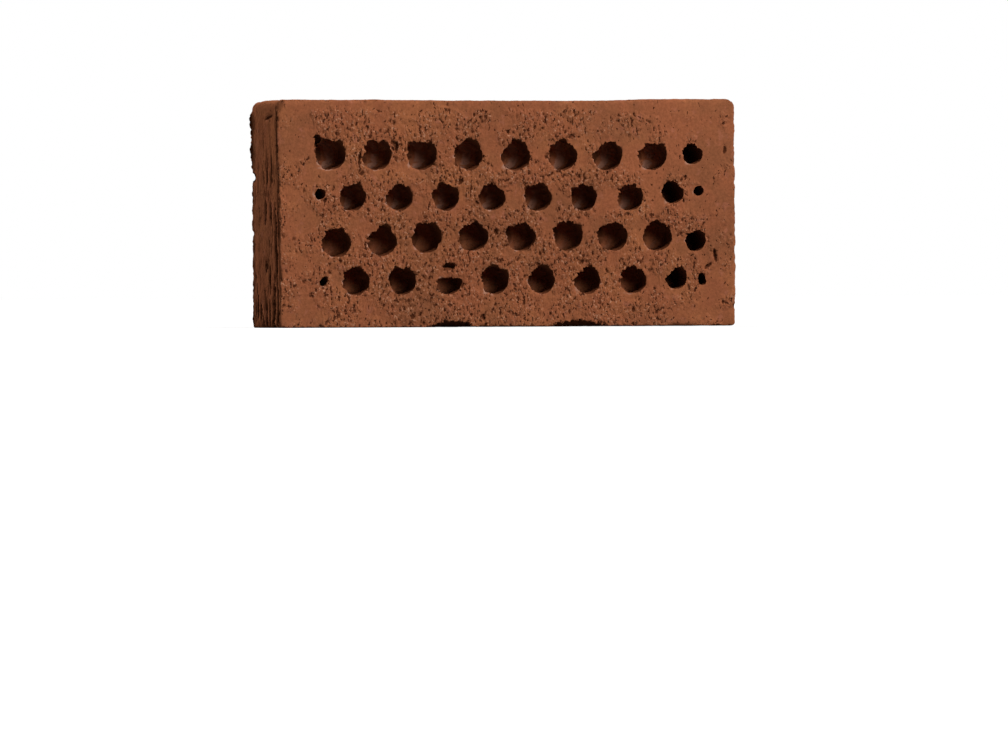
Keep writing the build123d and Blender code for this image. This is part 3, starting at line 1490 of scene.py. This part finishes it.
@dataclass
class NodeBench:
    """Short ways to place shader nodes in one material or world."""

    tree: bpy.types.NodeTree

    def add(self, kind: str, **settings: object) -> bpy.types.Node:
        """Place a node.

        Args:
            kind: Type of the node.
            settings: Values of its own settings.

        Returns:
            The node.
        """
        node = self.tree.nodes.new(kind)
        for key, value in settings.items():
            setattr(node, key, value)
        return node

    def feed(self, socket: Socket, value: object) -> None:
        """Link a socket's source, or set its value.

        Args:
            socket: Socket that is fed.
            value: Another socket, or a plain value.
        """
        if isinstance(value, Socket):
            self.tree.links.new(value, socket)
        else:
            socket.default_value = value

    def sums(self, operation: str, *values: object) -> Socket:
        """Result of a Math node.

        Args:
            operation: What it does.
            values: Up to three sockets or numbers.

        Returns:
            The result.
        """
        node = self.add("ShaderNodeMath", operation=operation)
        for socket, value in zip(node.inputs, values):
            self.feed(socket, value)
        return node.outputs[0]

    def noise(self, where: Socket, size: float, detail: float = 2.0, rough: float = 0.5) -> Socket:
        """Noise with features of a size given in millimetres.

        Args:
            where: Coordinates, in metres.
            size: Width of the widest features.
            detail: Number of finer octaves.
            rough: Strength of each finer octave.

        Returns:
            The noise, 0 to 1.
        """
        node = self.add("ShaderNodeTexNoise")
        settings = {"Vector": where, "Scale": 1.0 / (size * MM), "Detail": detail, "Roughness": rough}
        for name, value in settings.items():
            self.feed(node.inputs[name], value)
        return node.outputs["Fac"]

    def ramp(
        self,
        value: Socket,
        low: float,
        high: float,
        out_low: float = 0.0,
        out_high: float = 1.0,
    ) -> Socket:
        """Value eased from one range to another, and held at its ends.

        Args:
            value: Source.
            low: Source value for out_low.
            high: Source value for out_high.
            out_low: Result at low.
            out_high: Result at high.

        Returns:
            The carried value.
        """
        node = self.add("ShaderNodeMapRange", interpolation_type="SMOOTHSTEP")
        for socket, number in zip(node.inputs, (value, low, high, out_low, out_high)):
            self.feed(socket, number)
        return node.outputs[0]

    def mix(self, share: object, first: object, second: object, blend: str = "MIX") -> Socket:
        """Two colours mixed by a share.

        Args:
            share: 0 for the first colour and 1 for the second.
            first: First colour.
            second: Second colour.
            blend: Blend type.

        Returns:
            The mixed colour.
        """
        node = self.add("ShaderNodeMix", data_type="RGBA", blend_type=blend)
        for name, value in (("Factor_Float", share), ("A_Color", first), ("B_Color", second)):
            self.feed(next(s for s in node.inputs if s.identifier == name), value)
        return next(s for s in node.outputs if s.identifier == "Result_Color")

    def direct(self) -> Socket:
        """Whether a ray comes from the camera, or by way of glass or gloss.

        Returns:
            1 for such a ray and 0 for any other.
        """
        path = self.add("ShaderNodeLightPath").outputs
        seen = self.sums("MAXIMUM", path["Is Camera Ray"], path["Is Glossy Ray"])
        return self.sums("MAXIMUM", seen, path["Is Transmission Ray"])


@dataclass(frozen=True)
class ClayInputs:
    """What the clay's nodes start from.

    These are the places, in metres, the painted shading, which is painted
    shade from how deep in a pit, crease or dark hole mouth a point lies,
    or painted light if below 0, the share of torn clay there, and the
    noise of the crumbs and their gaps.
    """

    where: Socket
    painted_shading: Socket
    torn: Socket
    crumbs: Socket


@dataclass(frozen=True)
class Patch:
    """Patches of one colour: their size in millimetres, and where they show."""

    colour: Colour
    size: float
    rough: float
    low: float
    high: float
    strength: float = 1.0


@dataclass(frozen=True)
class FiredClay:
    """Matt fired clay: mottled, speckled, and with painted shade and light.

    A range is the span over which a noise, a share or a place in metres
    takes effect, and a strength is what it is worth there.
    """

    dull: Colour = (0.207, 0.072, 0.032, 1.0)
    patches: tuple[Patch, ...] = (
        Patch((0.285, 0.097, 0.040, 1.0), 38.0, 0.6, 0.38, 0.64),
        Patch((0.252, 0.081, 0.036, 1.0), 16.0, 0.6, 0.35, 0.65),
        Patch((0.305, 0.105, 0.060, 1.0), 6.5, 0.65, 0.56, 0.72, 0.6),
    )
    patch_detail: float = 3.0
    fine_size: float = 1.3
    fine_rough: float = 0.7
    fine_range: Span = (0.3, 0.7)
    fine_strength: Span = (0.87, 1.13)
    # Painted light that makes the upper right corner and the top paler.
    right_range: Span = (-0.04, 0.11)
    top_range: Span = (0.02, 0.112)
    corner_painted_light: Span = (1.01, 1.14)
    top_painted_light: Span = (0.99, 1.02)
    # Painted light deep in the holes and on the worn rims, where the painted shading is below 0.
    painted_light_colour: Colour = (0.330, 0.155, 0.100, 1.0)
    painted_light_range: Span = (-0.1, -0.5)
    grog: Colour = (0.450, 0.215, 0.125, 1.0)
    grog_size: float = 1.05
    grog_rough: float = 0.55
    grog_range: Span = (0.6, 0.66)
    grog_torn: Span = (0.2, 0.7)
    grog_strength: float = 0.7
    # Painted shade in the small gaps between crumbs.
    gap_shade: Colour = (0.060, 0.016, 0.007, 1.0)
    gap_shade_range: Span = (0.345, 0.305)
    gap_shade_torn: Span = (0.1, 0.75)
    gap_shade_gain: float = 0.085
    gap_shade_strength: float = 0.93
    # Painted shade in pits, creases, furrows, on the burr and at the hole mouths.
    pit: Colour = (0.050, 0.013, 0.005, 1.0)
    pit_shade_range: Span = (0.1, 0.8)
    pit_shade_strength: float = 0.88
    crumb_size: float = 1.5
    crumb_rough: float = 0.6
    crumb_torn: Span = (0.15, 0.7)
    crumb_rise: Span = (0.15, 2.2)
    sand_size: float = 0.8
    sand_rough: float = 0.65
    sand_rise: float = 0.2
    grain_height: float = 0.5
    draw: float = 0.6
    roughness: float = 0.92
    specular: float = 0.0

    def material(self, name: str) -> bpy.types.Material:
        """Make the material.

        Args:
            name: Name of the material.

        Returns:
            The material, ready for the brick.
        """
        clay = bpy.data.materials.new(name)
        clay.use_nodes = True
        bench = NodeBench(clay.node_tree)
        shader = clay.node_tree.nodes["Principled BSDF"]
        where = bench.add("ShaderNodeTexCoord").outputs["Object"]
        # Painted shade above 0 and painted light below 0, carried by the mesh.
        painted_shading = bench.add("ShaderNodeAttribute", attribute_name="painted_shading").outputs["Fac"]
        torn = bench.add("ShaderNodeAttribute", attribute_name="torn").outputs["Fac"]
        drawn = bench.add("ShaderNodeMapping")
        bench.feed(drawn.inputs["Vector"], where)
        drawn.inputs["Scale"].default_value = (1.0, 1.0, self.draw)
        crumbs = bench.noise(drawn.outputs[0], self.crumb_size, 3.0, self.crumb_rough)
        inputs = ClayInputs(where, painted_shading, torn, crumbs)
        bench.feed(shader.inputs["Base Color"], self._colour(bench, inputs))
        bench.feed(shader.inputs["Normal"], self._grain(bench, inputs))
        shader.inputs["Roughness"].default_value = self.roughness
        shader.inputs["Specular IOR Level"].default_value = self.specular
        return clay

    def _shade(self, bench: NodeBench, where: Socket) -> Socket:
        """Brightness of the clay: fine noise, and painted light that makes the
        upper right corner and the top paler.

        Args:
            bench: Where the nodes go.
            where: Object coordinates.

        Returns:
            The brightness as a grey colour.
        """
        fine = bench.noise(where, self.fine_size, 3.0, self.fine_rough)
        fine = bench.ramp(fine, *self.fine_range, *self.fine_strength)
        place = bench.add("ShaderNodeSeparateXYZ")
        bench.feed(place.inputs[0], where)
        rightward = bench.ramp(place.outputs["X"], *self.right_range)
        upward = bench.ramp(place.outputs["Z"], *self.top_range)
        # Painted light at the upper right corner and along the top.
        corner = bench.sums("MULTIPLY", rightward, upward)
        corner = bench.ramp(corner, 0.0, 1.0, *self.corner_painted_light)
        fine = bench.sums("MULTIPLY", fine, corner)
        fine = bench.sums("MULTIPLY", fine, bench.ramp(upward, 0.0, 1.0, *self.top_painted_light))
        shade = bench.add("ShaderNodeCombineXYZ")
        for socket in shade.inputs:
            bench.feed(socket, fine)
        return shade.outputs[0]

    def _colour(self, bench: NodeBench, clay: ClayInputs) -> Socket:
        """Colour of the clay.

        The dull clay is mixed with each kind of patch in turn, and multiplied
        by fine noise and by painted light towards the upper right. Over that
        go painted light deep in the holes and on worn rims, the pale grog
        where the clay is torn, painted shade in the small gaps, and painted
        shade in the pits, creases, furrows, burr and hole mouths.

        Args:
            bench: Where the nodes go.
            clay: What the nodes start from.

        Returns:
            The colour socket.
        """
        colour = self.dull
        for patch in self.patches:
            share = bench.noise(clay.where, patch.size, self.patch_detail, patch.rough)
            share = bench.ramp(share, patch.low, patch.high, 0.0, patch.strength)
            colour = bench.mix(share, colour, patch.colour)
        # Fine noise, and painted light towards the upper right.
        colour = bench.mix(1.0, colour, self._shade(bench, clay.where), blend="MULTIPLY")
        # Painted light deep in the holes and on the worn rims.
        colour = bench.mix(bench.ramp(clay.painted_shading, *self.painted_light_range), colour, self.painted_light_colour)
        grit = bench.ramp(bench.noise(clay.where, self.grog_size, 2.0, self.grog_rough), *self.grog_range)
        bare = bench.ramp(clay.torn, *self.grog_torn, 0.0, self.grog_strength)
        colour = bench.mix(bench.sums("MULTIPLY", grit, bare), colour, self.grog)
        # Painted shade in the small gaps between crumbs.
        colour = bench.mix(self._gap_shades(bench, clay), colour, self.gap_shade)
        # Painted shade in pits, creases, furrows, on the burr and at the hole mouths.
        pits = bench.ramp(clay.painted_shading, *self.pit_shade_range, 0.0, self.pit_shade_strength)
        return bench.mix(pits, colour, self.pit)

    def _gap_shades(self, bench: NodeBench, clay: ClayInputs) -> Socket:
        """Painted shade in small gaps: a few in plain clay, and many where it is torn.

        Args:
            bench: Where the nodes go.
            clay: What the nodes start from.

        Returns:
            Share of the gaps' painted shade.
        """
        gain = bench.ramp(clay.torn, *self.gap_shade_torn, 0.0, self.gap_shade_gain)
        lowered = bench.sums("SUBTRACT", clay.crumbs, gain)
        return bench.ramp(lowered, *self.gap_shade_range, 0.0, self.gap_shade_strength)

    def _grain(self, bench: NodeBench, clay: ClayInputs) -> Socket:
        """Relief too fine for the mesh, deeper where the clay is torn.

        Args:
            bench: Where the nodes go.
            clay: What the nodes start from.

        Returns:
            The normal socket.
        """
        sand = bench.noise(clay.where, self.sand_size, 3.0, self.sand_rough)
        rise = bench.ramp(clay.torn, *self.crumb_torn, *self.crumb_rise)
        rise = bench.sums("MULTIPLY", clay.crumbs, rise)
        # The gaps that get painted shade are also sunk in the bump.
        rise = bench.sums("SUBTRACT", rise, self._gap_shades(bench, clay))
        height = bench.sums("ADD", bench.sums("MULTIPLY", sand, self.sand_rise), rise)
        bump = bench.add("ShaderNodeBump")
        bench.feed(bump.inputs["Strength"], 1.0)
        bench.feed(bump.inputs["Distance"], self.grain_height * MM)
        bench.feed(bump.inputs["Height"], height)
        return bump.outputs[0]


@dataclass(frozen=True)
class PaleFloor:
    """A plain pale floor that reads as white where nothing shades it."""

    colour: Colour = (0.26, 0.26, 0.26, 1.0)
    lift: float = 0.76
    half_size: float = 12.0

    def build(self, name: str) -> bpy.types.Object:
        """Make the floor.

        Args:
            name: Name of the floor.

        Returns:
            The floor, just under the brick.
        """
        reach = np.array([-self.half_size, self.half_size])
        x, y = np.meshgrid(reach, reach, indexing="ij")
        points = np.stack([x, y, np.zeros_like(x)], axis=-1).reshape(-1, 3)
        mesh = bpy.data.meshes.new(name)
        mesh.from_pydata(points, [], [(0, 2, 3, 1)])
        mesh.materials.append(self._material(name))
        floor = bpy.data.objects.new(name, mesh)
        bpy.context.scene.collection.objects.link(floor)
        return floor

    def _material(self, name: str) -> bpy.types.Material:
        """Pale matt material, lifted for rays from the camera only.

        Args:
            name: Name of the material.

        Returns:
            The material.
        """
        pale = bpy.data.materials.new(name)
        pale.use_nodes = True
        bench = NodeBench(pale.node_tree)
        shader = pale.node_tree.nodes["Principled BSDF"]
        shader.inputs["Base Color"].default_value = self.colour
        shader.inputs["Roughness"].default_value = 1.0
        shader.inputs["Specular IOR Level"].default_value = 0.0
        shader.inputs["Emission Color"].default_value = WHITE
        lifted = bench.sums("MULTIPLY", bench.direct(), self.lift)
        bench.feed(shader.inputs["Emission Strength"], lifted)
        return pale


@dataclass(frozen=True)
class Lamp:
    """A soft distant lamp, by the direction that its light comes from."""

    name: str
    towards: tuple[float, float, float]
    light: float
    spread: float

    def build(self) -> bpy.types.Object:
        """Make the lamp.

        Returns:
            The lamp, turned so that it shines along its own -Z.
        """
        data = bpy.data.lights.new(self.name, "SUN")
        data.energy = self.light * math.pi
        data.angle = math.radians(self.spread)
        lamp = bpy.data.objects.new(self.name, data)
        lamp.rotation_mode = "QUATERNION"
        lamp.rotation_quaternion = Vector(self.towards).to_track_quat("Z", "Y")
        bpy.context.scene.collection.objects.link(lamp)
        return lamp


@dataclass(frozen=True)
class Studio:
    """Plain soft studio light on a white background."""

    ambient: float = 0.05
    lamps: tuple[Lamp, ...] = (
        Lamp("key", (0.42, -0.62, 0.66), 1.27, 9.0),
        Lamp("rear_fill", (-0.18, 0.88, 0.38), 1.45, 22.0),
    )

    def build(self) -> None:
        """Make the lamps, and a world that is white only where it is seen."""
        for lamp in self.lamps:
            lamp.build()
        world = bpy.data.worlds.new("studio")
        world.use_nodes = True
        bench = NodeBench(world.node_tree)
        backdrop = world.node_tree.nodes["Background"]
        backdrop.inputs["Color"].default_value = WHITE
        strength = bench.ramp(bench.direct(), 0.0, 1.0, self.ambient, 1.0)
        bench.feed(backdrop.inputs["Strength"], strength)
        bpy.context.scene.world = world
        bpy.context.scene.view_settings.view_transform = "Standard"


@dataclass(frozen=True)
class PhotoCamera:
    """The photograph's camera, a little above the level of the brick's foot.

    Distances are in metres, angles in degrees and the lens in millimetres.
    Picture places are in pixels from the upper left of a 1008 x 756 frame.
    """

    distance: float = 5.0
    height: float = 0.02
    yaw: float = 16.02
    roll: float = -0.246
    lens: float = 352.57
    sensor: float = 36.0
    nearest: float = 0.05
    farthest: float = 60.0
    picture_width: float = 1008.0
    picture_height: float = 756.0
    brick_column: float = 493.6
    brick_line: float = 213.2

    def _axes(self, ahead: Vector, up: Vector) -> Matrix:
        """Axes of a camera that looks ahead.

        Args:
            ahead: Direction that it looks in.
            up: Direction that is upright in its picture.

        Returns:
            Its axes as columns: right, up and backwards.
        """
        right = ahead.cross(up).normalized()
        above = right.cross(ahead).normalized()
        return Matrix((right, above, -ahead.normalized())).transposed()

    def build(self, middle: Vector) -> bpy.types.Object:
        """Make the camera and aim it.

        The direction to the brick's middle is made to fall on the brick's
        place in the picture. Roll then turns the camera about that line.

        Args:
            middle: Middle of the brick, in metres.

        Returns:
            The camera.
        """
        yaw = math.radians(self.yaw)
        eye = Vector((-math.sin(yaw) * self.distance, -math.cos(yaw) * self.distance, self.height))
        focal = self.lens / self.sensor * self.picture_width
        across = (self.brick_column - self.picture_width / 2) / focal
        up = (self.picture_height / 2 - self.brick_line) / focal
        level = (middle - eye).normalized()
        held = self._axes(Vector((across, up, -1.0)), Vector((0.0, 1.0, 0.0)))
        aimed = self._axes(level, Vector((0.0, 0.0, 1.0)))
        turn = Matrix.Rotation(math.radians(-self.roll), 3, level)
        data = bpy.data.cameras.new("photo_camera")
        data.lens = self.lens
        data.sensor_width = self.sensor
        data.clip_start, data.clip_end = self.nearest, self.farthest
        camera = bpy.data.objects.new("photo_camera", data)
        camera.matrix_world = Matrix.Translation(eye) @ (turn @ aimed @ held.transposed()).to_4x4()
        bpy.context.scene.collection.objects.link(camera)
        bpy.context.scene.camera = camera
        return camera


def main() -> None:
    """Build the brick, the floor, the light and the camera in order."""
    logging.basicConfig(level=logging.INFO, format="%(name)s: %(message)s")
    low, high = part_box(NODE)
    PhotoCamera().build((low + high) / 2)
    noise = ClayNoise(seed=41)
    body = BrickBody(
        low=np.array(low) / MM,
        high=np.array(high) / MM,
        pattern=PerforationPattern(),
        mouths=Mouths(noise),
        bed=BedRelief(noise),
        skin=SkinRelief(noise),
        noise=noise,
    ).build("brick_body")
    body.data.materials.clear()
    body.data.materials.append(FiredClay().material("fired_clay"))
    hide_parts(NODE)
    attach(body, BODY)
    floor = PaleFloor().build("floor")
    log.info("%s: %.0f m across", floor.name, floor.dimensions.x)
    Studio().build()


if __name__ == "__main__":
    main()
